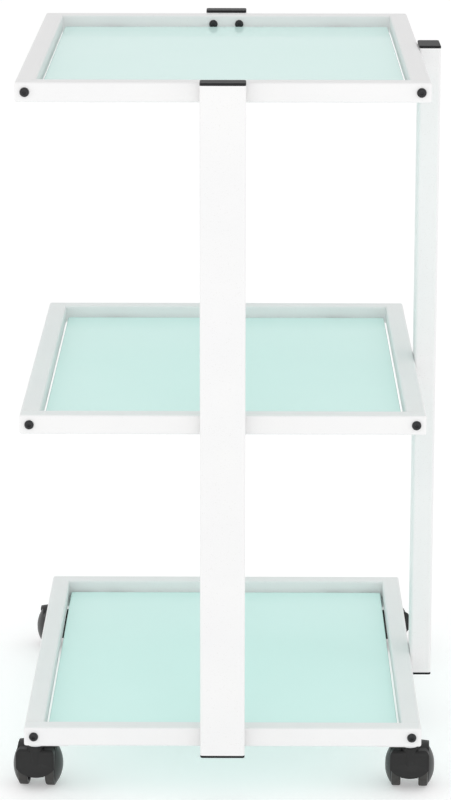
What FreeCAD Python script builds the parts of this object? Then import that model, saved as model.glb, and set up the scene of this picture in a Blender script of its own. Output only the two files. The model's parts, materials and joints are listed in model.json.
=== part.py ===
import FreeCAD, Part
import math
import os

# A rolling trolley. Three square-tube frames, each with a loose glass pane, are held by three flat
# posts and stand on four hooded twin-wheel casters. The front and back posts are screwed to the
# frames, and the right post is welded to them.
# Millimetres. +Z is up, -Y is the front and +X is the side that has the post. The origin lies on
# the floor, midway between the outermost points of the trolley.

# Shelf frames
FRAME_WIDTH = 450.0
FRAME_DEPTH = 580.0
FRAME_CENTRE_X = -2.28          # the post on the right makes the trolley wider on that side
FRAME_UNDERSIDES = {"bottom": 65.0, "middle": 430.0, "top": 800.0}
RAIL_SIZE = 22.0
RAIL_EDGE_RADIUS = 2.5
TUBE_WALL = 1.5
WELD_FILL = 1.6                 # how far a side rail fills the round edge that it is welded to

# Posts and their end caps
POST_WIDTH = 50.0
POST_THICKNESS = 25.0
POST_EDGE_RADIUS = 3.0
POST_BOTTOM = 63.5
POST_TOP = FRAME_UNDERSIDES["top"] + RAIL_SIZE
CAP_THICKNESS = 3.0
CAP_PLUG_LENGTH = 5.0
CAP_RIB_PLAY = 0.1
CAP_RIB_DEPTH = 0.7
CAP_RIB_COUNT = 2
CAP_RIB_HEIGHT = 1.0

# Glass panes, the tabs welded under the rails that carry them, and the soft pads between
GLASS_THICKNESS = 5.0
GLASS_SIDE_GAP = 3.0
GLASS_END_GAP = 4.0             # clears the screw heads inside the front and back rails
GLASS_CORNER_RADIUS = 3.0
GLASS_EDGE_CHAMFER = 0.6
TAB_WIDTH = 24.0
TAB_THICKNESS = 2.0
TAB_REACH = 20.0                # how far a tab stands into the frame
TAB_LAP = 8.0                   # how far it lies under the rail
TAB_OFFSET_X = 140.0
TAB_CORNER_RADIUS = 3.0
PAD_THICKNESS = 3.2
PAD_RADIUS = 5.0
PAD_REACH = 12.0                # pad centre from the rail's inner face

# Button-head screws, the threaded plugs in the side rails and the rivet nuts in the posts
SCREW_RADIUS = 2.95
SCREW_LENGTH = 30.0
HEAD_RADIUS = 5.25
HEAD_HEIGHT = 3.3
HEAD_RIM_HEIGHT = 0.4
HEAD_SHOULDER_RADIUS = 4.4
HEAD_SHOULDER_HEIGHT = 2.3
HEAD_FLAT_RADIUS = 2.4
HEAD_SOCKET_FLATS = 4.0
HEAD_SOCKET_DEPTH = 2.0
THREAD_RADIUS = 3.0
CLEARANCE_RADIUS = 3.3
POST_SCREW_SPACING = 32.0
PLUG_LENGTH = 7.0
NUT_BODY_RADIUS = 4.5
NUT_FLANGE_RADIUS = 6.0
NUT_FLANGE_THICKNESS = 1.0      # also the gap that it leaves between a rail and a post
NUT_LENGTH = 11.0

# Casters: the fixed stem, the swivelling housing and its two wheels
CASTER_INSET_Y = 36.0           # stem axis from the frame's front or back face
CASTER_TRAIL = 18.0             # wheel axle behind the stem axis
CASTER_SWIVEL_DEG = {"front_left": -5.0, "front_right": -3.0, "rear_left": 9.0, "rear_right": 24.0}
PLATE_SIZE = 50.0
PLATE_CORNER_RADIUS = 6.0
PLATE_THICKNESS = 4.0
PLATE_SETBACK = 11.0            # plate edge from the frame's front or back face
PLATE_EDGE_INSET = 2.5
STEM_RADIUS = 5.0
STEM_HOLE_PLAY = 0.05
RAIL_STEM_HOLE_RADIUS = 5.5
STEM_TOP = 75.0
STEM_HEX_FLATS = 15.0
STEM_COLLAR_RADIUS = 9.0
STEM_COLLAR_BOTTOM = 54.0
STEM_COLLAR_TOP = 56.0
PIN_RADIUS = 4.0
PIN_BOTTOM = 34.5
RUNNING_CLEARANCE = 0.05
SOCKET_DEPTH = 19.5
BOSS_RADIUS = 10.0
BOSS_BOTTOM = 30.0
BOSS_TOP = 53.5
WEB_HALF_WIDTH = 9.5
WEB_REAR = 12.0                 # how far the web reaches behind the axle
WEB_HUB_RADIUS = 13.0
WEB_OVERLAP = 0.5               # how far the web runs into the hood
HOOD_HALF_WIDTH = 22.0
HOOD_INNER_RADIUS = 25.8
HOOD_SIDE_RADIUS = 27.2
HOOD_CROWN_RADIUS = 28.6
HOOD_REAR_DEG = 55.0            # behind the top of the wheel
HOOD_FRONT_DEG = 118.0          # in front of the top of the wheel
HOOD_LIP_HEIGHT = 16.5          # lowest point of the hood's curved front edge
HOOD_LIP_RADIUS = 27.8
APRON_TOP = 49.5                # the apron rises straight in front of the wheels, below the boss
APRON_BACK = 8.0
APRON_EDGE_RADIUS = 5.0
WHEEL_RADIUS = 25.0
WHEEL_INNER_FACE = 10.2
WHEEL_SIDE_FACE = 28.5
DOME_RADIUS = 38.0
DOME_RIM_RADIUS = 23.0
TREAD_EDGE_RADIUS = 1.8
TREAD_INNER_EDGE = 12.0
TREAD_INNER_ARC_MIDDLE = (10.73, 24.47)
TREAD_OUTER_EDGE = 18.8
TREAD_OUTER_ARC_MIDDLE = (20.22, 24.35)
HUB_RADIUS = 8.0
RIM_INNER_RADIUS = 20.5
RECESS_FLOOR = 18.0
RECESS_DRAFT = 1.0
AXLE_RADIUS = 3.0
AXLE_HALF_LENGTH = 23.5
AXLE_BORE_END = 24.0

EDGE_BREAK = 1.0                # rounding of moulded edges
OVERCUT = 1.0                   # how far a cutting tool runs past a face

Vector = FreeCAD.Vector
X_AXIS = Vector(1, 0, 0)
Y_AXIS = Vector(0, 1, 0)
Z_AXIS = Vector(0, 0, 1)

HALF_WIDTH = FRAME_WIDTH / 2
HALF_DEPTH = FRAME_DEPTH / 2
INNER_HALF_WIDTH = HALF_WIDTH - RAIL_SIZE
INNER_HALF_DEPTH = HALF_DEPTH - RAIL_SIZE
SIDE_RAIL_X = HALF_WIDTH - RAIL_SIZE / 2
RAIL_MID_HEIGHT = RAIL_SIZE / 2
POST_SCREW_OFFSETS = (-POST_SCREW_SPACING / 2, POST_SCREW_SPACING / 2)
SIDES = (-1, 1)


def save(name, *solids):
    """Write one node, moved from the frame's centre line to the trolley's own origin."""
    shape = solids[0] if len(solids) == 1 else Part.makeCompound(list(solids))
    moved = shape.copy()
    moved.translate(Vector(FRAME_CENTRE_X, 0, 0))
    moved.exportStep("parts/%s.step" % name)


def block(low, high):
    """A box between two opposite corners."""
    low, high = Vector(*low), Vector(*high)
    size = high - low
    return Part.makeBox(size.x, size.y, size.z, low)


def edges_along(shape, axis):
    """The straight edges of a shape that run along an axis."""
    return [edge for edge in shape.Edges if abs(edge.tangentAt(edge.FirstParameter).dot(axis)) > 0.999]


def rounded_block(low, high, radius, axis):
    """A box whose four long edges, those along an axis, are rounded."""
    shape = block(low, high)
    return shape.makeFillet(radius, edges_along(shape, axis))


def rod(base, axis, radius, length):
    return Part.makeCylinder(radius, length, base, axis)


def hexagon_prism(base, flats, height):
    """A hexagonal prism that stands on its base point along Z."""
    radius = flats / math.sqrt(3)
    corners = []
    for i in range(7):
        angle = math.radians(60 * i)
        corners.append(base + Vector(radius * math.cos(angle), radius * math.sin(angle), 0))
    return Part.Face(Part.makePolygon(corners)).extrude(Vector(0, 0, height))


def point_along(shape, place, axis):
    """Turn a shape made along +Z so that it points along an axis, and move it to its place."""
    turned = shape.copy()
    turned.Placement = FreeCAD.Placement(place, FreeCAD.Rotation(Z_AXIS, axis))
    return turned


# Tubes

def open_tube(low, high, radius, axis):
    """A tube with rounded long edges and open ends."""
    outer = rounded_block(low, high, radius, axis)
    inset = (Vector(1, 1, 1) - axis) * TUBE_WALL
    inner = rounded_block(Vector(*low) + inset, Vector(*high) - inset, radius - TUBE_WALL, axis)
    return outer.cut(inner)


def rail_corners(side, underside):
    """The opposite corners of a front or back rail."""
    inner, outer = sorted((side * INNER_HALF_DEPTH, side * HALF_DEPTH))
    return Vector(-HALF_WIDTH, inner, underside), Vector(HALF_WIDTH, outer, underside + RAIL_SIZE)


def rail_outline(side, underside):
    """The solid outline of a front or back rail, rounded on every edge."""
    outline = block(*rail_corners(side, underside))
    return outline.makeFillet(RAIL_EDGE_RADIUS, outline.Edges)


def front_or_back_rail(side, underside):
    """A full-width rail with welded ends, drilled for the corner screws and the post's screws."""
    low, high = rail_corners(side, underside)
    wall = Vector(TUBE_WALL, TUBE_WALL, TUBE_WALL)
    hollow = rounded_block(low + wall, high - wall, RAIL_EDGE_RADIUS - TUBE_WALL, X_AXIS)
    rail = rail_outline(side, underside).cut(hollow)
    for x in (-SIDE_RAIL_X, SIDE_RAIL_X) + POST_SCREW_OFFSETS:
        base = Vector(x, low.y - OVERCUT, underside + RAIL_MID_HEIGHT)
        rail = rail.cut(rod(base, Y_AXIS, CLEARANCE_RADIUS, RAIL_SIZE + 2 * OVERCUT))
    return rail


def side_rail(side, underside, has_casters):
    """A rail between the front and back rails. Its ends follow their round edges, as a ground weld does."""
    centre = side * SIDE_RAIL_X
    reach = INNER_HALF_DEPTH + WELD_FILL
    low = Vector(centre - RAIL_SIZE / 2, -reach, underside)
    high = Vector(centre + RAIL_SIZE / 2, reach, underside + RAIL_SIZE)
    rail = open_tube(low, high, RAIL_EDGE_RADIUS, Y_AXIS)
    for end in SIDES:
        rail = rail.cut(rail_outline(end, underside))
    if has_casters:
        for y in (CASTER_INSET_Y - HALF_DEPTH, HALF_DEPTH - CASTER_INSET_Y):
            base = Vector(centre, y, underside - OVERCUT)
            rail = rail.cut(rod(base, Z_AXIS, RAIL_STEM_HOLE_RADIUS, TUBE_WALL + 2 * OVERCUT))
    return rail


def post(place):
    """A flat tube with open ends, and a hole in its inner face for each rivet nut."""
    half = place["half_size"]
    low = Vector(place["centre"].x - half.x, place["centre"].y - half.y, POST_BOTTOM)
    high = Vector(place["centre"].x + half.x, place["centre"].y + half.y, POST_TOP)
    tube = open_tube(low, high, POST_EDGE_RADIUS, Z_AXIS)
    for seat in place["nut_seats"]:
        base = seat - place["outward"] * OVERCUT
        tube = tube.cut(rod(base, place["outward"], NUT_BODY_RADIUS, TUBE_WALL + 2 * OVERCUT))
    return tube


def post_places():
    """Where each post stands: its centre, half size, outward direction and rivet nut seats."""
    reach = HALF_DEPTH + NUT_FLANGE_THICKNESS
    half_size = Vector(POST_WIDTH / 2, POST_THICKNESS / 2, 0)
    places = {}
    for name, outward in (("front", -Y_AXIS), ("back", Y_AXIS)):
        places[name] = {
            "outward": outward,
            "centre": outward * (reach + POST_THICKNESS / 2),
            "half_size": half_size,
            "nut_seats": [outward * reach + Vector(offset, 0, underside + RAIL_MID_HEIGHT)
                          for underside in FRAME_UNDERSIDES.values() for offset in POST_SCREW_OFFSETS],
        }
    # The welded post lies against the frames and has no rivet nuts
    places["right"] = {
        "outward": X_AXIS,
        "centre": X_AXIS * (HALF_WIDTH + POST_THICKNESS / 2),
        "half_size": Vector(half_size.y, half_size.x, 0),
        "nut_seats": [],
    }
    return places


def post_cap(place, at_top):
    """A moulded cap: a flange that closes the post's end and a ribbed plug inside the tube."""
    half = place["half_size"]
    centre = place["centre"]
    sign = 1 if at_top else -1
    end = POST_TOP if at_top else POST_BOTTOM

    def slab(inset, near, far, radius):
        low_z, high_z = sorted((end + sign * near, end + sign * far))
        low = Vector(centre.x - half.x + inset, centre.y - half.y + inset, low_z)
        high = Vector(centre.x + half.x - inset, centre.y + half.y - inset, high_z)
        return rounded_block(low, high, radius, Z_AXIS)

    flange = slab(0, 0, CAP_THICKNESS, POST_EDGE_RADIUS)
    outer_face = max(flange.Faces, key=lambda face: sign * face.CenterOfMass.z)
    flange = flange.makeFillet(EDGE_BREAK, outer_face.Edges)
    rib_inset = TUBE_WALL + CAP_RIB_PLAY
    core = slab(rib_inset + CAP_RIB_DEPTH, 0, -CAP_PLUG_LENGTH, EDGE_BREAK)
    cap = flange.fuse(core)
    pitch = CAP_PLUG_LENGTH / CAP_RIB_COUNT
    for i in range(CAP_RIB_COUNT):
        start = pitch * i + pitch / 2
        cap = cap.fuse(slab(rib_inset, -start, -start - CAP_RIB_HEIGHT, POST_EDGE_RADIUS - TUBE_WALL))
    return cap.removeSplitter()


# Fasteners, made with the underside of the head at the origin and the shank along -Z

def button_head_screw():
    rim = Vector(HEAD_RADIUS, 0, HEAD_RIM_HEIGHT)
    shoulder = Vector(HEAD_SHOULDER_RADIUS, 0, HEAD_SHOULDER_HEIGHT)
    flat_edge = Vector(HEAD_FLAT_RADIUS, 0, HEAD_HEIGHT)
    section = Part.Wire([
        Part.makeLine(Vector(0, 0, 0), Vector(HEAD_RADIUS, 0, 0)),
        Part.makeLine(Vector(HEAD_RADIUS, 0, 0), rim),
        Part.Arc(rim, shoulder, flat_edge).toShape(),
        Part.makeLine(flat_edge, Vector(0, 0, HEAD_HEIGHT)),
        Part.makeLine(Vector(0, 0, HEAD_HEIGHT), Vector(0, 0, 0)),
    ])
    head = Part.Face(section).revolve(Vector(0, 0, 0), Z_AXIS, 360)
    socket_floor = Vector(0, 0, HEAD_HEIGHT - HEAD_SOCKET_DEPTH)
    head = head.cut(hexagon_prism(socket_floor, HEAD_SOCKET_FLATS, HEAD_SOCKET_DEPTH + OVERCUT))
    shank = rod(Vector(0, 0, -SCREW_LENGTH), Z_AXIS, SCREW_RADIUS, SCREW_LENGTH)
    return head.fuse(shank).removeSplitter()


def rivet_nut():
    """Flange against the rail, body through the post's wall, along +Z."""
    nut = rod(Vector(0, 0, -NUT_FLANGE_THICKNESS), Z_AXIS, NUT_FLANGE_RADIUS, NUT_FLANGE_THICKNESS)
    nut = nut.fuse(rod(Vector(0, 0, 0), Z_AXIS, NUT_BODY_RADIUS, NUT_LENGTH))
    bore_start = Vector(0, 0, -NUT_FLANGE_THICKNESS - OVERCUT)
    bore_length = NUT_FLANGE_THICKNESS + NUT_LENGTH + 2 * OVERCUT
    return nut.cut(rod(bore_start, Z_AXIS, THREAD_RADIUS, bore_length)).removeSplitter()


def threaded_plug():
    """A square plug for a side rail's end, with a threaded hole along +Z."""
    half = RAIL_SIZE / 2 - TUBE_WALL
    plug = rounded_block((-half, -half, 0), (half, half, PLUG_LENGTH), RAIL_EDGE_RADIUS - TUBE_WALL, Z_AXIS)
    return plug.cut(rod(Vector(0, 0, -OVERCUT), Z_AXIS, THREAD_RADIUS, PLUG_LENGTH + 2 * OVERCUT))


# Glass and what carries it

def glass_pane(underside):
    half_x = INNER_HALF_WIDTH - GLASS_SIDE_GAP
    half_y = INNER_HALF_DEPTH - GLASS_END_GAP
    bottom = underside + PAD_THICKNESS
    pane = rounded_block((-half_x, -half_y, bottom), (half_x, half_y, bottom + GLASS_THICKNESS),
                         GLASS_CORNER_RADIUS, Z_AXIS)
    rims = [edge for face in pane.Faces if abs(face.normalAt(0, 0).z) > 0.999 for edge in face.Edges]
    return pane.makeChamfer(GLASS_EDGE_CHAMFER, rims)


def glass_tab(side_x, side_y, underside):
    centre = side_x * TAB_OFFSET_X
    near, far = sorted((side_y * (INNER_HALF_DEPTH - TAB_REACH), side_y * (INNER_HALF_DEPTH + TAB_LAP)))
    return rounded_block((centre - TAB_WIDTH / 2, near, underside - TAB_THICKNESS),
                         (centre + TAB_WIDTH / 2, far, underside), TAB_CORNER_RADIUS, Z_AXIS)


def glass_pad(side_x, side_y, underside):
    centre = Vector(side_x * TAB_OFFSET_X, side_y * (INNER_HALF_DEPTH - PAD_REACH), underside)
    return rod(centre, Z_AXIS, PAD_RADIUS, PAD_THICKNESS)


# Casters, made with the stem axis on the Z axis, the floor at Z = 0 and the wheels trailing to +Y

def caster_plate(side_x, side_y):
    """A plate welded under a corner of the bottom frame, with the hole that the stem screws into."""
    frame_bottom = FRAME_UNDERSIDES["bottom"]
    x_low, x_high = sorted((side_x * (HALF_WIDTH - PLATE_EDGE_INSET),
                            side_x * (HALF_WIDTH - PLATE_EDGE_INSET - PLATE_SIZE)))
    y_low, y_high = sorted((side_y * (HALF_DEPTH - PLATE_SETBACK),
                            side_y * (HALF_DEPTH - PLATE_SETBACK - PLATE_SIZE)))
    plate = rounded_block((x_low, y_low, frame_bottom - PLATE_THICKNESS), (x_high, y_high, frame_bottom),
                          PLATE_CORNER_RADIUS, Z_AXIS)
    hole_base = Vector(side_x * SIDE_RAIL_X, side_y * (HALF_DEPTH - CASTER_INSET_Y),
                       frame_bottom - PLATE_THICKNESS - OVERCUT)
    hole_length = PLATE_THICKNESS + 2 * OVERCUT
    return plate.cut(rod(hole_base, Z_AXIS, STEM_RADIUS + STEM_HOLE_PLAY, hole_length))


def caster_stem():
    """Threaded stem, hexagon, collar and the plain pin that the housing turns on."""
    plate_bottom = FRAME_UNDERSIDES["bottom"] - PLATE_THICKNESS
    stem = rod(Vector(0, 0, PIN_BOTTOM), Z_AXIS, PIN_RADIUS, STEM_COLLAR_BOTTOM - PIN_BOTTOM)
    stem = stem.fuse(rod(Vector(0, 0, STEM_COLLAR_BOTTOM), Z_AXIS, STEM_COLLAR_RADIUS,
                         STEM_COLLAR_TOP - STEM_COLLAR_BOTTOM))
    hexagon_height = plate_bottom - STEM_COLLAR_TOP
    stem = stem.fuse(hexagon_prism(Vector(0, 0, STEM_COLLAR_TOP), STEM_HEX_FLATS, hexagon_height))
    stem = stem.fuse(rod(Vector(0, 0, plate_bottom), Z_AXIS, STEM_RADIUS, STEM_TOP - plate_bottom))
    return stem.removeSplitter()


AXLE_CENTRE = Vector(0, CASTER_TRAIL, WHEEL_RADIUS)


def section_about_axle(outline):
    """A closed face above the axle. Each step is an X and a radius, then an arc's middle if it is an arc."""
    def place(x, radius):
        return AXLE_CENTRE + Vector(x, 0, radius)

    edges = []
    start = place(*outline[0])
    for step in outline[1:]:
        end = place(step[0], step[1])
        if len(step) == 4:
            edges.append(Part.Arc(start, place(step[2], step[3]), end).toShape())
        else:
            edges.append(Part.makeLine(start, end))
        start = end
    edges.append(Part.makeLine(start, place(*outline[0])))
    return Part.Face(Part.Wire(edges))


def caster_hood():
    """The crowned shell over both wheels and the straight apron in front of them."""
    section = section_about_axle([
        (-HOOD_HALF_WIDTH, HOOD_INNER_RADIUS),
        (-HOOD_HALF_WIDTH, HOOD_SIDE_RADIUS),
        (HOOD_HALF_WIDTH, HOOD_SIDE_RADIUS, 0, HOOD_CROWN_RADIUS),
        (HOOD_HALF_WIDTH, HOOD_INNER_RADIUS),
    ])
    section.rotate(AXLE_CENTRE, X_AXIS, -HOOD_REAR_DEG)
    shell = section.revolve(AXLE_CENTRE, X_AXIS, HOOD_REAR_DEG + HOOD_FRONT_DEG)

    apron_front = CASTER_TRAIL - HOOD_SIDE_RADIUS
    apron = block((-HOOD_HALF_WIDTH, apron_front, WHEEL_RADIUS), (HOOD_HALF_WIDTH, APRON_BACK, APRON_TOP))
    upper_edges = [edge for edge in apron.Edges if edge.CenterOfMass.z > APRON_TOP - EDGE_BREAK]
    top_edges = [edge for edge in upper_edges if edge.CenterOfMass.y < APRON_BACK - EDGE_BREAK]
    apron = apron.makeFillet(APRON_EDGE_RADIUS, top_edges)
    wheel_room = rod(AXLE_CENTRE - X_AXIS * (HOOD_HALF_WIDTH + OVERCUT), X_AXIS, HOOD_INNER_RADIUS,
                     2 * (HOOD_HALF_WIDTH + OVERCUT))
    hood = shell.fuse(apron.cut(wheel_room))

    reach = HOOD_CROWN_RADIUS + OVERCUT
    lip_centre_z = HOOD_LIP_HEIGHT + HOOD_LIP_RADIUS
    below_lip = block((-reach, CASTER_TRAIL - reach, -OVERCUT), (reach, CASTER_TRAIL, lip_centre_z))
    above_lip = rod(Vector(0, CASTER_TRAIL - reach - OVERCUT, lip_centre_z), Y_AXIS, HOOD_LIP_RADIUS,
                    reach + 2 * OVERCUT)
    return hood.cut(below_lip.cut(above_lip))


def caster_housing():
    """Stem boss, the web between the wheels and the hood over them."""
    web_start = AXLE_CENTRE - X_AXIS * WEB_HALF_WIDTH
    web = rod(web_start, X_AXIS, HOOD_INNER_RADIUS + WEB_OVERLAP, 2 * WEB_HALF_WIDTH)
    web = web.common(block((-WEB_HALF_WIDTH, CASTER_TRAIL - HOOD_CROWN_RADIUS, HOOD_LIP_HEIGHT),
                           (WEB_HALF_WIDTH, CASTER_TRAIL + WEB_REAR, BOSS_TOP)))
    web = web.fuse(rod(web_start, X_AXIS, WEB_HUB_RADIUS, 2 * WEB_HALF_WIDTH))
    boss = rod(Vector(0, 0, BOSS_BOTTOM), Z_AXIS, BOSS_RADIUS, BOSS_TOP - BOSS_BOTTOM)
    boss_rim = [edge for edge in boss.Edges if edge.Closed and edge.CenterOfMass.z > BOSS_TOP - EDGE_BREAK]
    boss = boss.makeFillet(EDGE_BREAK, boss_rim)
    housing = caster_hood().fuse([web, boss]).removeSplitter()
    socket = rod(Vector(0, 0, BOSS_TOP - SOCKET_DEPTH), Z_AXIS, PIN_RADIUS + RUNNING_CLEARANCE,
                 SOCKET_DEPTH + OVERCUT)
    axle_hole = rod(web_start - X_AXIS * OVERCUT, X_AXIS, AXLE_RADIUS, 2 * (WEB_HALF_WIDTH + OVERCUT))
    return housing.cut(socket).cut(axle_hole)


def caster_axle():
    return rod(AXLE_CENTRE - X_AXIS * AXLE_HALF_LENGTH, X_AXIS, AXLE_RADIUS, 2 * AXLE_HALF_LENGTH)


def caster_wheel(side):
    """A one-piece wheel: hub, hollow back, rounded tread and a domed outer face."""
    dome_centre = WHEEL_SIDE_FACE - DOME_RADIUS

    def dome_x(radius):
        return dome_centre + math.sqrt(DOME_RADIUS ** 2 - radius ** 2)

    bore = AXLE_RADIUS + RUNNING_CLEARANCE
    half_way = DOME_RIM_RADIUS / 2
    outline = [
        (WHEEL_INNER_FACE, bore),
        (WHEEL_INNER_FACE, HUB_RADIUS),
        (RECESS_FLOOR, HUB_RADIUS + RECESS_DRAFT),
        (RECESS_FLOOR, RIM_INNER_RADIUS - RECESS_DRAFT),
        (WHEEL_INNER_FACE, RIM_INNER_RADIUS),
        (WHEEL_INNER_FACE, WHEEL_RADIUS - TREAD_EDGE_RADIUS),
        (TREAD_INNER_EDGE, WHEEL_RADIUS, *TREAD_INNER_ARC_MIDDLE),
        (TREAD_OUTER_EDGE, WHEEL_RADIUS),
        (dome_x(DOME_RIM_RADIUS), DOME_RIM_RADIUS, *TREAD_OUTER_ARC_MIDDLE),
        (WHEEL_SIDE_FACE, 0, dome_x(half_way), half_way),
        (AXLE_BORE_END, 0),
        (AXLE_BORE_END, bore),
    ]
    mirrored = []
    for step in outline:
        mirrored.append(tuple(side * value if i % 2 == 0 else value for i, value in enumerate(step)))
    return section_about_axle(mirrored).revolve(AXLE_CENTRE, X_AXIS, 360)


def set_in_place(shape, corner, side_x, side_y):
    """Turn a caster piece to its swivel angle and carry it to its corner."""
    placed = shape.copy()
    placed.rotate(Vector(0, 0, 0), Z_AXIS, CASTER_SWIVEL_DEG[corner])
    placed.translate(Vector(side_x * SIDE_RAIL_X, side_y * (HALF_DEPTH - CASTER_INSET_Y), 0))
    return placed


# Assembly

os.makedirs("parts", exist_ok=True)

screw = button_head_screw()
plug = threaded_plug()
corners = [(side_x, side_y) for side_x in SIDES for side_y in SIDES]
plugs = []
pads = []
for level, underside in FRAME_UNDERSIDES.items():
    save("rail_%s_front" % level, front_or_back_rail(-1, underside))
    save("rail_%s_back" % level, front_or_back_rail(1, underside))
    save("rail_%s_left" % level, side_rail(-1, underside, level == "bottom"))
    save("rail_%s_right" % level, side_rail(1, underside, level == "bottom"))
    save("glass_%s" % level, glass_pane(underside))
    save("glass_tabs_%s" % level, *[glass_tab(side_x, side_y, underside) for side_x, side_y in corners])
    corner_screws = []
    for side_x, side_y in corners:
        outer = Vector(side_x * SIDE_RAIL_X, side_y * HALF_DEPTH, underside + RAIL_MID_HEIGHT)
        inner = Vector(side_x * SIDE_RAIL_X, side_y * INNER_HALF_DEPTH, underside + RAIL_MID_HEIGHT)
        corner_screws.append(point_along(screw, outer, Y_AXIS * side_y))
        plugs.append(point_along(plug, inner, Y_AXIS * -side_y))
        pads.append(glass_pad(side_x, side_y, underside))
    save("corner_screws_%s" % level, *corner_screws)
save("rail_end_plugs", *plugs)
save("glass_pads", *pads)

nut = rivet_nut()
nuts = []
for name, place in post_places().items():
    outward = place["outward"]
    save("post_%s" % name, post(place))
    save("cap_top_%s" % name, post_cap(place, True))
    save("cap_bottom_%s" % name, post_cap(place, False))
    if place["nut_seats"]:
        head_step = outward * -(RAIL_SIZE + NUT_FLANGE_THICKNESS)
        save("post_screws_%s" % name,
             *[point_along(screw, seat + head_step, -outward) for seat in place["nut_seats"]])
        nuts += [point_along(nut, seat, outward) for seat in place["nut_seats"]]
save("rivet_nuts", *nuts)

stem = caster_stem()
housing = caster_housing()
axle = caster_axle()
wheel_left = caster_wheel(-1)
wheel_right = caster_wheel(1)
for row, side_y in (("front", -1), ("rear", 1)):
    for column, side_x in (("left", -1), ("right", 1)):
        corner = "%s_%s" % (row, column)
        save("caster_plate_%s" % corner, caster_plate(side_x, side_y))
        save("caster_stem_%s" % corner, set_in_place(stem, corner, side_x, side_y))
        save("caster_housing_%s" % corner, set_in_place(housing, corner, side_x, side_y))
        save("caster_axle_%s" % corner, set_in_place(axle, corner, side_x, side_y))
        save("wheel_left_%s" % corner, set_in_place(wheel_left, corner, side_x, side_y))
        save("wheel_right_%s" % corner, set_in_place(wheel_right, corner, side_x, side_y))
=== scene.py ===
import bmesh
import bpy
import json
import math
from mathutils import Matrix, Vector


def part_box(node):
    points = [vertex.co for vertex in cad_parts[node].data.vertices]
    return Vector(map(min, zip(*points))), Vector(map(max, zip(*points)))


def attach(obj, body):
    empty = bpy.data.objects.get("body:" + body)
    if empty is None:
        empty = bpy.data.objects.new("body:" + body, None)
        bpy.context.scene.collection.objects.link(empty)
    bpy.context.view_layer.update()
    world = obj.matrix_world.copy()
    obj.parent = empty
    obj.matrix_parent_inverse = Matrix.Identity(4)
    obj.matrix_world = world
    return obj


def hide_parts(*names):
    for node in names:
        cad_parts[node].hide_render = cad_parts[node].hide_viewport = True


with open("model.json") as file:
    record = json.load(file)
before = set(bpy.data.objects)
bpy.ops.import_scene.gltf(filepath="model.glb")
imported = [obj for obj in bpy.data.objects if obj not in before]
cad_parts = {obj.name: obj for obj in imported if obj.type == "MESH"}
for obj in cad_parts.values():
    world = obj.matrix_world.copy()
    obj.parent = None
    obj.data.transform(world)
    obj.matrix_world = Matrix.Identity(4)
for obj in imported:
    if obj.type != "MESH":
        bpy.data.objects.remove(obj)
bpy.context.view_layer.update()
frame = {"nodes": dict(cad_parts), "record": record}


# Shelf frames
# Each shelf is a ring of 22 mm square steel tube. The joints are welded and ground flush, and the
# frame, the tabs under the glass and the caster plates are blasted and powder-coated white as one.

class Wire:
    """One output of a node tree. Sums, products and quotients of wires add their Math nodes."""

    def __init__(self, tree, socket=None):
        self.tree = tree
        self.socket = socket

    def node(self, kind, settings=None, sockets=None, output=0):
        """Add a node: its settings first, then the values or wires of its sockets."""
        made = self.tree.nodes.new(kind)
        for name, value in (settings or {}).items():
            if name == "rows":
                for _ in range(value - 2):
                    made.index_switch_items.new()
            else:
                setattr(made, name, value)
        for name, value in (sockets or {}).items():
            if isinstance(value, Wire):
                self.tree.links.new(value.socket, made.inputs[name])
            else:
                made.inputs[name].default_value = value
        return Wire(self.tree, made.outputs[output])

    def maths(self, operation, first, second=0.0):
        return self.node("ShaderNodeMath", {"operation": operation}, {0: first, 1: second})

    def __add__(self, other):
        return self.maths("ADD", self, other)

    def __radd__(self, other):
        return self.maths("ADD", other, self)

    def __sub__(self, other):
        return self.maths("SUBTRACT", self, other)

    def __rsub__(self, other):
        return self.maths("SUBTRACT", other, self)

    def __mul__(self, other):
        return self.maths("MULTIPLY", self, other)

    def __rmul__(self, other):
        return self.maths("MULTIPLY", other, self)

    def __truediv__(self, other):
        return self.maths("DIVIDE", self, other)

    def __rtruediv__(self, other):
        return self.maths("DIVIDE", other, self)


def noise(place, scale, detail=2.0):
    """Soft random values about 0.5; the scale is in features per metre."""
    return place.node("ShaderNodeTexNoise", None, {"Vector": place, "Scale": scale, "Detail": detail})


def between(value, low, high):
    """0 where a value is at or below low, rising to 1 at high."""
    return value.node("ShaderNodeMapRange", None, {"Value": value, "From Min": low, "From Max": high})


def mix(amount, first, second):
    """One colour where the amount is 0, the other where it is 1."""
    return amount.node("ShaderNodeMix", {"data_type": "RGBA"}, {0: amount, 6: first, 7: second}, output=2)


def relief(height, depth, strength=1.0):
    """The surface normal of a fine relief that is depth metres high."""
    return height.node("ShaderNodeBump", None, {"Height": height, "Distance": depth, "Strength": strength})


def finish(name, constants, pattern):
    """A material: constants go on the shader's own sockets, pattern(place) makes what varies."""
    material = bpy.data.materials.new(name)
    material.use_nodes = True
    tree = material.node_tree
    tree.nodes.clear()
    wire = Wire(tree)
    place = wire.node("ShaderNodeTexCoord", output="Object")
    shader = wire.node("ShaderNodeBsdfPrincipled", None, {**constants, **pattern(place)})
    tree.links.new(shader.socket, tree.nodes.new("ShaderNodeOutputMaterial").inputs["Surface"])
    return material


def wear(material, *nodes):
    """Give carried-over nodes a material."""
    for node in nodes:
        mesh = frame["nodes"][node].data
        mesh.materials.clear()
        mesh.materials.append(material)


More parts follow.
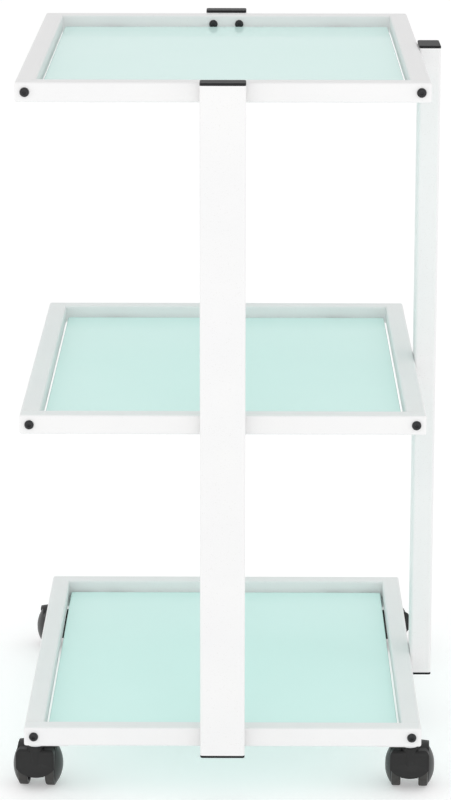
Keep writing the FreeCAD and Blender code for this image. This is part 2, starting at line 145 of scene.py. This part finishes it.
def powder_coat_pattern(place):
    cloud = noise(place, 14.0, 3.0)
    peel = noise(place, 420.0, 2.0)
    grain = noise(place, 2600.0, 1.0)
    specks = between(noise(place, 900.0, 0.0), 0.74, 0.80)
    colour = mix(cloud, (0.80, 0.80, 0.805, 1.0), (0.845, 0.84, 0.835, 1.0))
    return {
        "Base Color": mix(specks * 0.35, colour, (0.66, 0.65, 0.63, 1.0)),
        "Roughness": 0.30 + 0.12 * cloud + 0.08 * grain,
        "Normal": relief(peel + 0.25 * grain, 0.00006, 0.6),
    }


levels = ("bottom", "middle", "top")
corners = ("front_left", "front_right", "rear_left", "rear_right")
powder_coat = finish("white_powder_coat", {"Specular IOR Level": 0.25}, powder_coat_pattern)
sides = ("front", "back", "left", "right")
wear(powder_coat, *["rail_%s_%s" % (level, side) for level in levels for side in sides])
wear(powder_coat, *["glass_tabs_%s" % level for level in levels])
wear(powder_coat, *["caster_plate_%s" % corner for corner in corners])


# Posts
# Three flat 50 by 25 mm steel tubes, coated like the frames. The front and back ones stand off the
# rails by the thickness of a rivet nut's flange, and the right one is welded against its rails.

post_names = ("front", "back", "right")
wear(powder_coat, *["post_%s" % name for name in post_names])


# Post caps
# Black polyethylene mouldings pushed into both ends of each post. A ribbed plug grips the tube's
# walls, and the flange that closes the end is spark-eroded matt.

def moulded_black_pattern(place):
    grain = noise(place, 1800.0, 2.0)
    cloud = noise(place, 60.0, 2.0)
    return {
        "Base Color": mix(cloud, (0.010, 0.010, 0.011, 1.0), (0.017, 0.017, 0.018, 1.0)),
        "Roughness": 0.42 + 0.18 * grain,
        "Normal": relief(grain, 0.00008, 0.5),
    }


moulded_black = finish("moulded_black", {"Specular IOR Level": 0.2}, moulded_black_pattern)
wear(moulded_black, *["cap_%s_%s" % (end, name) for end in ("top", "bottom") for name in post_names])


# Hidden fixings
# Zinc-plated steel: rivet nuts pressed into the front and back posts, and threaded plugs welded
# into the side rails' ends.

def zinc_pattern(place):
    cloud = noise(place, 90.0, 3.0)
    grain = noise(place, 3000.0, 1.0)
    return {
        "Base Color": mix(cloud, (0.56, 0.57, 0.60, 1.0), (0.68, 0.68, 0.66, 1.0)),
        "Roughness": 0.26 + 0.14 * cloud + 0.06 * grain,
        "Normal": relief(grain, 0.00002, 0.4),
    }


zinc = finish("bright_zinc", {"Metallic": 1.0}, zinc_pattern)
wear(zinc, "rivet_nuts", "rail_end_plugs")


# Glass shelves
# Loose 5 mm toughened panes, tinted mint. The upper face is polished and the lower face is etched,
# so the pane looks milky, and the ground edges show the deeper green of the glass.

def mint_glass_pattern(place):
    normal = place.node("ShaderNodeTexCoord", output="Normal")
    facing = place.node("ShaderNodeSeparateXYZ", None, {0: normal}, output=2)
    upward = between(facing, 0.5, 0.8)
    flat = upward + between(facing * -1.0, 0.5, 0.8)
    cloud = noise(place, 6.0, 2.0)
    etch = noise(place, 1400.0, 2.0)
    face = mix(cloud, (0.69, 0.95, 0.90, 1.0), (0.73, 0.97, 0.93, 1.0))
    return {
        "Base Color": mix(flat, (0.30, 0.55, 0.50, 1.0), face),
        "Roughness": 0.55 - 0.12 * flat + 0.05 * etch,
        "Coat Weight": 0.55 * upward,
        "Normal": relief(etch, 0.00002, 0.15),
    }


glass_constants = {"Transmission Weight": 0.05, "IOR": 1.4, "Coat Roughness": 0.03, "Coat IOR": 1.3,
                   "Specular IOR Level": 0.15}
mint_glass = finish("mint_etched_glass", glass_constants, mint_glass_pattern)
wear(mint_glass, *["glass_%s" % level for level in levels])


# Pads
# Clear soft PVC buttons, each stuck on a tab under the glass. The panes rest on them, so that
# glass never touches steel.

def clear_pad_pattern(place):
    haze = noise(place, 700.0, 2.0)
    return {
        "Base Color": mix(haze, (0.80, 0.83, 0.83, 1.0), (0.9, 0.92, 0.92, 1.0)),
        "Roughness": 0.25 + 0.2 * haze,
        "Normal": relief(haze, 0.00004, 0.4),
    }


clear_pad = finish("clear_pvc", {"Transmission Weight": 0.7, "IOR": 1.5}, clear_pad_pattern)
wear(clear_pad, "glass_pads")


# Welds
# Short rippled beads of weld metal, coated over with the frame: they join the right post to the
# rails that it crosses, and the caster plates to the undersides of the side rails.

def made_by_nodes(name, mesh, group, sizes, material):
    """Run a Geometry Nodes group on a mesh of places or paths, and keep the plain mesh that it makes."""
    maker = bpy.data.objects.new(name + "_maker", mesh)
    bpy.context.scene.collection.objects.link(maker)
    modifier = maker.modifiers.new("maker", "NODES")
    modifier.node_group = group
    values = {**sizes, "Material": material}
    for item in group.interface.items_tree:
        if item.item_type == "SOCKET" and item.in_out == "INPUT" and item.name in values:
            modifier[item.identifier] = values[item.name]
    depsgraph = bpy.context.evaluated_depsgraph_get()
    made = bpy.data.meshes.new_from_object(maker.evaluated_get(depsgraph), depsgraph=depsgraph)
    bpy.data.objects.remove(maker)
    shell = bmesh.new()
    shell.from_mesh(made)
    bmesh.ops.recalc_face_normals(shell, faces=shell.faces)
    shell.to_mesh(made)
    shell.free()
    made.shade_smooth()
    made.set_sharp_from_angle(angle=math.radians(38.0))
    piece = bpy.data.objects.new(name, made)
    bpy.context.scene.collection.objects.link(piece)
    return piece


def group_with_inputs(name, sizes):
    """An empty Geometry Nodes group with a geometry input, a named input for each size and a material."""
    tree = bpy.data.node_groups.new(name, "GeometryNodeTree")
    tree.interface.new_socket("Places", in_out="INPUT", socket_type="NodeSocketGeometry")
    for size in sizes:
        tree.interface.new_socket(size, in_out="INPUT", socket_type="NodeSocketFloat")
    tree.interface.new_socket("Material", in_out="INPUT", socket_type="NodeSocketMaterial")
    tree.interface.new_socket("Pieces", in_out="OUTPUT", socket_type="NodeSocketGeometry")
    entry = tree.nodes.new("NodeGroupInput")
    return tree, {socket.name: Wire(tree, socket) for socket in entry.outputs if socket.name}


def end_group(tree, pieces, material):
    whole = pieces.node("GeometryNodeRealizeInstances", None, {"Geometry": pieces})
    painted = whole.node("GeometryNodeSetMaterial", None, {"Geometry": whole, "Material": material})
    tree.links.new(painted.socket, tree.nodes.new("NodeGroupOutput").inputs["Pieces"])


def weld_group(sizes):
    tree, given = group_with_inputs("weld_bead", sizes)
    wire = Wire(tree)
    path = wire.node("GeometryNodeMeshToCurve", None, {"Mesh": given["Places"]})
    path = wire.node("GeometryNodeResampleCurve", None, {"Curve": path, "Count": 40})
    ring = wire.node("GeometryNodeCurvePrimitiveCircle", None,
                     {"Resolution": 10, "Radius": given["Bead Radius"]})
    bead = wire.node("GeometryNodeCurveToMesh", None,
                     {"Curve": path, "Profile Curve": ring, "Fill Caps": True})
    spot = wire.node("GeometryNodeInputPosition")
    grain = wire.node("ShaderNodeTexNoise", None, {"Vector": spot, "Scale": 700.0, "Detail": 1.0})
    lift = (grain - 0.5) * given["Ripple"]
    away = wire.node("GeometryNodeInputNormal")
    shift = wire.node("ShaderNodeVectorMath", {"operation": "SCALE"}, {0: away, "Scale": lift})
    bead = wire.node("GeometryNodeSetPosition", None, {"Geometry": bead, "Offset": shift})
    end_group(tree, bead, given["Material"])
    return tree


weld_sizes = {"Bead Radius": 0.0011, "Ripple": 0.0009}
weld_inset = 0.003
weld_paths = []
post_low, post_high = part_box("post_right")
for level in levels:
    rail_low, rail_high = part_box("rail_%s_right" % level)
    for y in (post_low.y + weld_inset, post_high.y - weld_inset):
        weld_paths.append(((rail_high.x, y, rail_low.z + weld_inset),
                           (rail_high.x, y, rail_high.z - weld_inset)))
for corner in corners:
    rail_low, rail_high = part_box("rail_bottom_%s" % corner.split("_")[1])
    plate_low, plate_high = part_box("caster_plate_%s" % corner)
    inner_x = rail_high.x if "left" in corner else rail_low.x
    weld_paths.append(((inner_x, plate_low.y + weld_inset, plate_high.z),
                       (inner_x, plate_high.y - weld_inset, plate_high.z)))
weld_mesh = bpy.data.meshes.new("weld_paths")
weld_mesh.from_pydata([end for path in weld_paths for end in path],
                      [(2 * i, 2 * i + 1) for i in range(len(weld_paths))], [])
welds = made_by_nodes("weld_beads", weld_mesh, weld_group(weld_sizes), weld_sizes, powder_coat)
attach(welds, "frame")


# Screws
# M6 button-head screws with a black oxide finish and a 4 mm hexagon socket: one through each end
# of the front and back rails, and two through each of those rails into its post.

def turned_group(name, sizes, profile, sides):
    """A group that stands a turned piece on each place, along the place's outward vector.

    profile(given) lists the rings from the outer end to the inner one, as radius, height and
    whether the ring is a hexagon."""
    tree, given = group_with_inputs(name, sizes)
    wire = Wire(tree)
    rings = profile(given)
    grid = wire.node("GeometryNodeMeshGrid", None, {"Vertices X": len(rings), "Vertices Y": sides + 1})
    index = wire.node("GeometryNodeInputIndex")
    share = index / (sides + 1.0)
    row = share.maths("FLOOR", share)
    angle = (index - row * (sides + 1.0)) * (2.0 * math.pi / sides)

    def per_ring(values):
        sockets = {"Index": row}
        for i, value in enumerate(values):
            sockets[i + 1] = value
        return wire.node("GeometryNodeIndexSwitch", {"data_type": "FLOAT", "rows": len(values)}, sockets)

    radius = per_ring([ring[0] for ring in rings])
    height = per_ring([ring[1] for ring in rings])
    sixth = math.pi / 3.0
    in_sixth = angle.maths("FLOORED_MODULO", angle, sixth) - sixth / 2.0
    flattening = math.cos(sixth / 2.0) / in_sixth.maths("COSINE", in_sixth)
    hexagonal = per_ring([1.0 if ring[2] else 0.0 for ring in rings])
    reach = radius * (1.0 + hexagonal * (flattening - 1.0))
    spot = wire.node("ShaderNodeCombineXYZ", None, {"X": reach * angle.maths("COSINE", angle),
                                                    "Y": reach * angle.maths("SINE", angle), "Z": height})
    shape = wire.node("GeometryNodeSetPosition", None, {"Geometry": grid, "Position": spot})
    shape = wire.node("GeometryNodeStoreNamedAttribute", {"data_type": "FLOAT", "domain": "POINT"},
                      {"Geometry": shape, "Name": "turned_radius", "Value": radius})
    shape = wire.node("GeometryNodeMergeByDistance", None, {"Geometry": shape, "Distance": 0.000002})
    outward = wire.node("GeometryNodeInputNamedAttribute", {"data_type": "FLOAT_VECTOR"}, {"Name": "outward"})
    stance = wire.node("FunctionNodeAlignRotationToVector", {"axis": "Z"}, {"Vector": outward})
    spin = wire.node("FunctionNodeRandomValue", {"data_type": "FLOAT"},
                     {2: 0.0, 3: 2.0 * math.pi, "Seed": 7}, output=1)
    turn = wire.node("FunctionNodeAxisAngleToRotation", None, {"Axis": (0.0, 0.0, 1.0), "Angle": spin})
    stance = wire.node("FunctionNodeRotateRotation", {"rotation_space": "LOCAL"},
                       {"Rotation": stance, "Rotate By": turn})
    pieces = wire.node("GeometryNodeInstanceOnPoints", None,
                       {"Points": given["Places"], "Instance": shape, "Rotation": stance})
    end_group(tree, pieces, given["Material"])
    return tree


def places_mesh(name, places):
    """Loose points, each with the direction that its piece points."""
    mesh = bpy.data.meshes.new(name)
    mesh.from_pydata([place for place, outward in places], [], [])
    directions = mesh.attributes.new("outward", "FLOAT_VECTOR", "POINT")
    for item, (place, outward) in zip(directions.data, places):
        item.vector = outward
    return mesh


def screw_profile(given):
    socket = given["Socket Corner Radius"]
    top = given["Head Height"]
    floor = top - given["Socket Depth"]
    flat = socket + 0.00028
    rim = given["Rim Height"]
    rings = [(0.0, floor, False), (socket, floor, True), (socket, top - 0.00025, True),
             (socket + 0.00015, top, True), (flat, top, False)]
    dome_steps = 7
    for i in range(1, dome_steps + 1):
        lean = math.pi / 2.0 * i / dome_steps
        rings.append((flat + (given["Head Radius"] - flat) * math.sin(lean),
                      rim + (top - rim) * math.cos(lean), False))
    shank = given["Shank Radius"]
    length = given["Shank Length"]
    rings += [(given["Head Radius"], 0.0, False), (shank, 0.0, False), (shank, 0.0006 - length, False),
              (shank - 0.0006, -1.0 * length, False), (0.0, -1.0 * length, False)]
    return rings


screw_sizes = {"Head Radius": 0.00525, "Head Height": 0.0033, "Rim Height": 0.0004,
               "Socket Corner Radius": 0.0023, "Socket Depth": 0.002,
               "Shank Radius": 0.00295, "Shank Length": 0.03}
post_screw_spacing = 0.032
screw_sides = 36
screw_places = []
for level in levels:
    left_low, left_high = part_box("rail_%s_left" % level)
    right_low, right_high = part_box("rail_%s_right" % level)
    for side, sign in (("front", -1.0), ("back", 1.0)):
        rail_low, rail_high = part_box("rail_%s_%s" % (level, side))
        outer_y, inner_y = (rail_low.y, rail_high.y) if sign < 0 else (rail_high.y, rail_low.y)
        height = (rail_low.z + rail_high.z) / 2.0
        for x in ((left_low.x + left_high.x) / 2.0, (right_low.x + right_high.x) / 2.0):
            screw_places.append(((x, outer_y, height), (0.0, sign, 0.0)))
        post_low, post_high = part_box("post_%s" % side)
        for offset in (-post_screw_spacing / 2.0, post_screw_spacing / 2.0):
            x = (post_low.x + post_high.x) / 2.0 + offset
            screw_places.append(((x, inner_y, height), (0.0, -sign, 0.0)))


def black_oxide_pattern(place):
    oil = noise(place, 500.0, 3.0)
    return {
        "Base Color": mix(oil, (0.014, 0.014, 0.015, 1.0), (0.04, 0.04, 0.042, 1.0)),
        "Roughness": 0.30 + 0.2 * oil,
        "Normal": relief(oil, 0.00003, 0.4),
    }


black_oxide = finish("black_oxide", {"Metallic": 0.5}, black_oxide_pattern)
screws = made_by_nodes("button_head_screws", places_mesh("screw_places", screw_places),
                       turned_group("button_head_screw", screw_sizes, screw_profile, screw_sides),
                       screw_sizes, black_oxide)
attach(screws, "frame")
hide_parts(*["corner_screws_%s" % level for level in levels],
            "post_screws_front", "post_screws_back")


# Caster housings
# One black nylon moulding each, with a fine spark-eroded grain: the boss that swivels on the
# zinc-plated stem, the web that holds the steel axle, and the hood over both wheels.

def nylon_pattern(place):
    grain = noise(place, 1500.0, 2.0)
    cloud = noise(place, 45.0, 2.0)
    return {
        "Base Color": mix(cloud, (0.012, 0.012, 0.012, 1.0), (0.02, 0.02, 0.02, 1.0)),
        "Roughness": 0.42 + 0.14 * grain,
        "Normal": relief(grain, 0.00005, 0.4),
    }


nylon = finish("black_nylon", {"Specular IOR Level": 0.3}, nylon_pattern)
for corner in corners:
    wear(zinc, "caster_stem_%s" % corner, "caster_axle_%s" % corner)
    wear(nylon, "caster_housing_%s" % corner)


# Caster wheels
# Moulded nylon wheels, two on each axle, with a domed outer face, a ring groove inside the rim, a
# shallow centre disc and a hollow back. The tread is dulled and dusty from the floor.

def wheel_profile(given):
    radius = given["Wheel Radius"]
    side = given["Side Face"]
    dome = given["Dome Radius"]

    def dome_height(reach):
        square = dome * dome - reach * reach
        return side - dome + square.maths("SQRT", square)

    def on_dome(part):
        reach = radius * part
        return (reach, dome_height(reach), False)

    def sunk(part, depth):
        reach = radius * part
        return (reach, dome_height(reach) - depth, False)

    groove = given["Groove Depth"]
    step = given["Disc Step"]
    rings = [(0.0, side - step, False)]
    rings += [sunk(part, step) for part in (0.1, 0.18, 0.235)]
    rings += [on_dome(part) for part in (0.25, 0.34, 0.44, 0.54, 0.64, 0.73, 0.81, 0.842)]
    rings += [sunk(0.85, groove), sunk(0.874, groove)]
    rings += [on_dome(0.882), on_dome(0.90), on_dome(0.92)]
    outer = given["Tread Outer Edge"]
    inner = given["Tread Inner Edge"]
    rim_height = dome_height(radius * 0.92)
    for lean in (0.25, 0.5, 0.75):
        turn = lean * math.pi / 2.0
        rings.append((radius * (0.92 + 0.08 * math.sin(turn)),
                      outer + (rim_height - outer) * math.cos(turn), False))
    back = given["Inner Face"]
    rings += [(radius, outer, False), (radius, inner, False)]
    for lean in (0.35, 0.7, 1.0):
        turn = lean * math.pi / 2.0
        rings.append((radius * (0.928 + 0.072 * math.cos(turn)),
                      inner - (inner - back) * math.sin(turn), False))
    hub = given["Hub Radius"]
    bore = given["Bore Radius"]
    floor = given["Recess Floor"]
    rings += [(radius * 0.82, back, False), (radius * 0.78, floor, False), (hub + 0.001, floor, False),
              (hub, back, False), (bore, back, False), (bore, given["Bore End"], False),
              (0.0, given["Bore End"], False)]
    return rings


def wheel_nylon_pattern(place):
    reach = place.node("ShaderNodeAttribute", {"attribute_name": "turned_radius"}, output="Fac")
    tread_start = 0.0236
    tread_full = 0.0246
    tread = between(reach, tread_start, tread_full)
    grain = noise(place, 1500.0, 2.0)
    dust = noise(place, 120.0, 3.0)
    clean = mix(grain, (0.014, 0.014, 0.014, 1.0), (0.022, 0.022, 0.022, 1.0))
    return {
        "Base Color": mix(tread * dust * 0.7, clean, (0.085, 0.08, 0.074, 1.0)),
        "Roughness": 0.34 + 0.08 * grain + 0.25 * tread,
        "Normal": relief(grain, 0.00004, 0.35),
    }


wheel_sizes = {"Wheel Radius": 0.025, "Side Face": 0.0285, "Dome Radius": 0.038, "Groove Depth": 0.0006,
               "Disc Step": 0.0003, "Tread Outer Edge": 0.0188, "Tread Inner Edge": 0.012,
               "Inner Face": 0.0102,
               "Hub Radius": 0.008, "Bore Radius": 0.00305, "Recess Floor": 0.018, "Bore End": 0.024}
wheel_nylon = finish("wheel_nylon", {"Specular IOR Level": 0.45}, wheel_nylon_pattern)
wheel_sides = 96
wheel_group = turned_group("caster_wheel", wheel_sizes, wheel_profile, wheel_sides)
joints = frame["record"]["behaviour"]["joints"]
spins = {joint["child"]: joint for joint in joints if joint["name"].startswith("spin_")}
for corner in corners:
    for side, sign in (("left", -1.0), ("right", 1.0)):
        body = "wheel_%s_%s" % (side, corner)
        outward = tuple(sign * part for part in spins[body]["axis"])
        wheel_places = places_mesh(body + "_place", [(tuple(spins[body]["pos_m"]), outward)])
        wheel = made_by_nodes(body + "_turned", wheel_places, wheel_group, wheel_sizes, wheel_nylon)
        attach(wheel, body)
        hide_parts(body)


# Studio
# A pale floor, faintly lit from within so that it stays white, under broad soft light, and a
# long lens well in front and a little above.

floor_mesh = bpy.data.meshes.new("studio_floor")
half_floor = 20.0
floor_mesh.from_pydata([(-half_floor, -half_floor, 0), (half_floor, -half_floor, 0),
                        (half_floor, half_floor, 0), (-half_floor, half_floor, 0)], [], [(0, 1, 2, 3)])
floor = bpy.data.objects.new("studio_floor", floor_mesh)
bpy.context.scene.collection.objects.link(floor)


def floor_pattern(place):
    cloud = noise(place, 1.5, 2.0)
    return {"Base Color": mix(cloud, (0.76, 0.76, 0.76, 1.0), (0.78, 0.78, 0.78, 1.0)),
            "Roughness": 0.75 + 0.1 * cloud}


floor_glow = {"Specular IOR Level": 0.1, "Emission Color": (1.0, 1.0, 1.0, 1.0), "Emission Strength": 0.32}
floor_mesh.materials.append(finish("pale_floor", floor_glow, floor_pattern))

world = bpy.data.worlds.new("studio")
world.use_nodes = True
world.node_tree.nodes["Background"].inputs["Color"].default_value = (1.0, 1.0, 1.0, 1.0)
world.node_tree.nodes["Background"].inputs["Strength"].default_value = 0.9
bpy.context.scene.world = world
bpy.context.scene.view_settings.view_transform = "Standard"


def softbox(name, place, target, width, height, power):
    light = bpy.data.lights.new(name, "AREA")
    light.shape = "RECTANGLE"
    light.size = width
    light.size_y = height
    light.energy = power
    lamp = bpy.data.objects.new(name, light)
    lamp.location = place
    lamp.rotation_euler = (Vector(target) - Vector(place)).to_track_quat("-Z", "Y").to_euler()
    bpy.context.scene.collection.objects.link(lamp)


softbox("front_softbox", (0.0, -2.6, 1.0), (0.0, 0.0, 0.5), 2.6, 1.4, 9.0)
softbox("left_softbox", (-3.0, -1.0, 1.0), (0.0, 0.0, 0.5), 1.4, 1.8, 7.0)
softbox("right_softbox", (3.0, -1.0, 1.0), (0.0, 0.0, 0.5), 1.4, 1.8, 7.0)

camera_data = bpy.data.cameras.new("camera")
camera = bpy.data.objects.new("camera", camera_data)
bpy.context.scene.collection.objects.link(camera)
picture_height = 800.0
focal_length = 3257.6
camera_data.sensor_width = 36.0
camera_data.lens = focal_length * camera_data.sensor_width / picture_height
camera_data.clip_end = 100.0
pitch = math.radians(14.1231)
yaw = math.radians(-0.3649)
roll = math.radians(0.0481)
forward = Vector((math.sin(yaw) * math.cos(pitch), math.cos(yaw) * math.cos(pitch), -math.sin(pitch)))
level_right = Vector((math.cos(yaw), -math.sin(yaw), 0.0))
level_up = level_right.cross(forward)
right = math.cos(roll) * level_right + math.sin(roll) * level_up
up = math.cos(roll) * level_up - math.sin(roll) * level_right
lens_place = (0.02288, -3.77175, 1.34577)
lens_turn = Matrix((right, up, -forward)).transposed().to_4x4()
camera.matrix_world = Matrix.Translation(lens_place) @ lens_turn
bpy.context.scene.camera = camera
